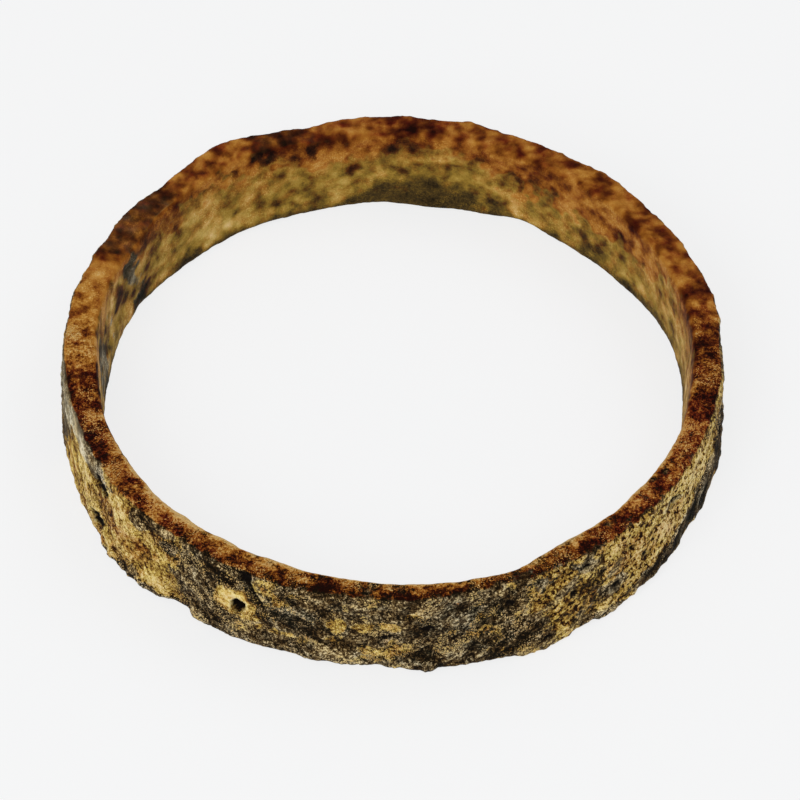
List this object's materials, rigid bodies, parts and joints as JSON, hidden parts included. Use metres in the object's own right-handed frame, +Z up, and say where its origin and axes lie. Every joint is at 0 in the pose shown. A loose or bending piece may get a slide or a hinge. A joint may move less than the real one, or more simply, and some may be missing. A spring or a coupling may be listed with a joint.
{
  "type": "brass ring",
  "caption": "Old closed flat-band finger ring of brass, uneven and corroded, with a pitted outer wall and a worn flat foot to lie on.",
  "frame": {"origin": "middle of the ring, at the height of the foot, the worn lower edge that it lies on", "axes": "+Z up along the axis of the finger hole; -Y towards the side that the picture shows nearest, and +X to that view's right"},
  "size_m": [0.0212, 0.0214, 0.0033],
  "materials": {
    "band": "corroded, rust-brown on the rim, grey-black with dull gold grit on the outer wall, ochre inside"
  },
  "bodies": {
    "root": {"ring_band": "band"}
  },
  "joints": []
}
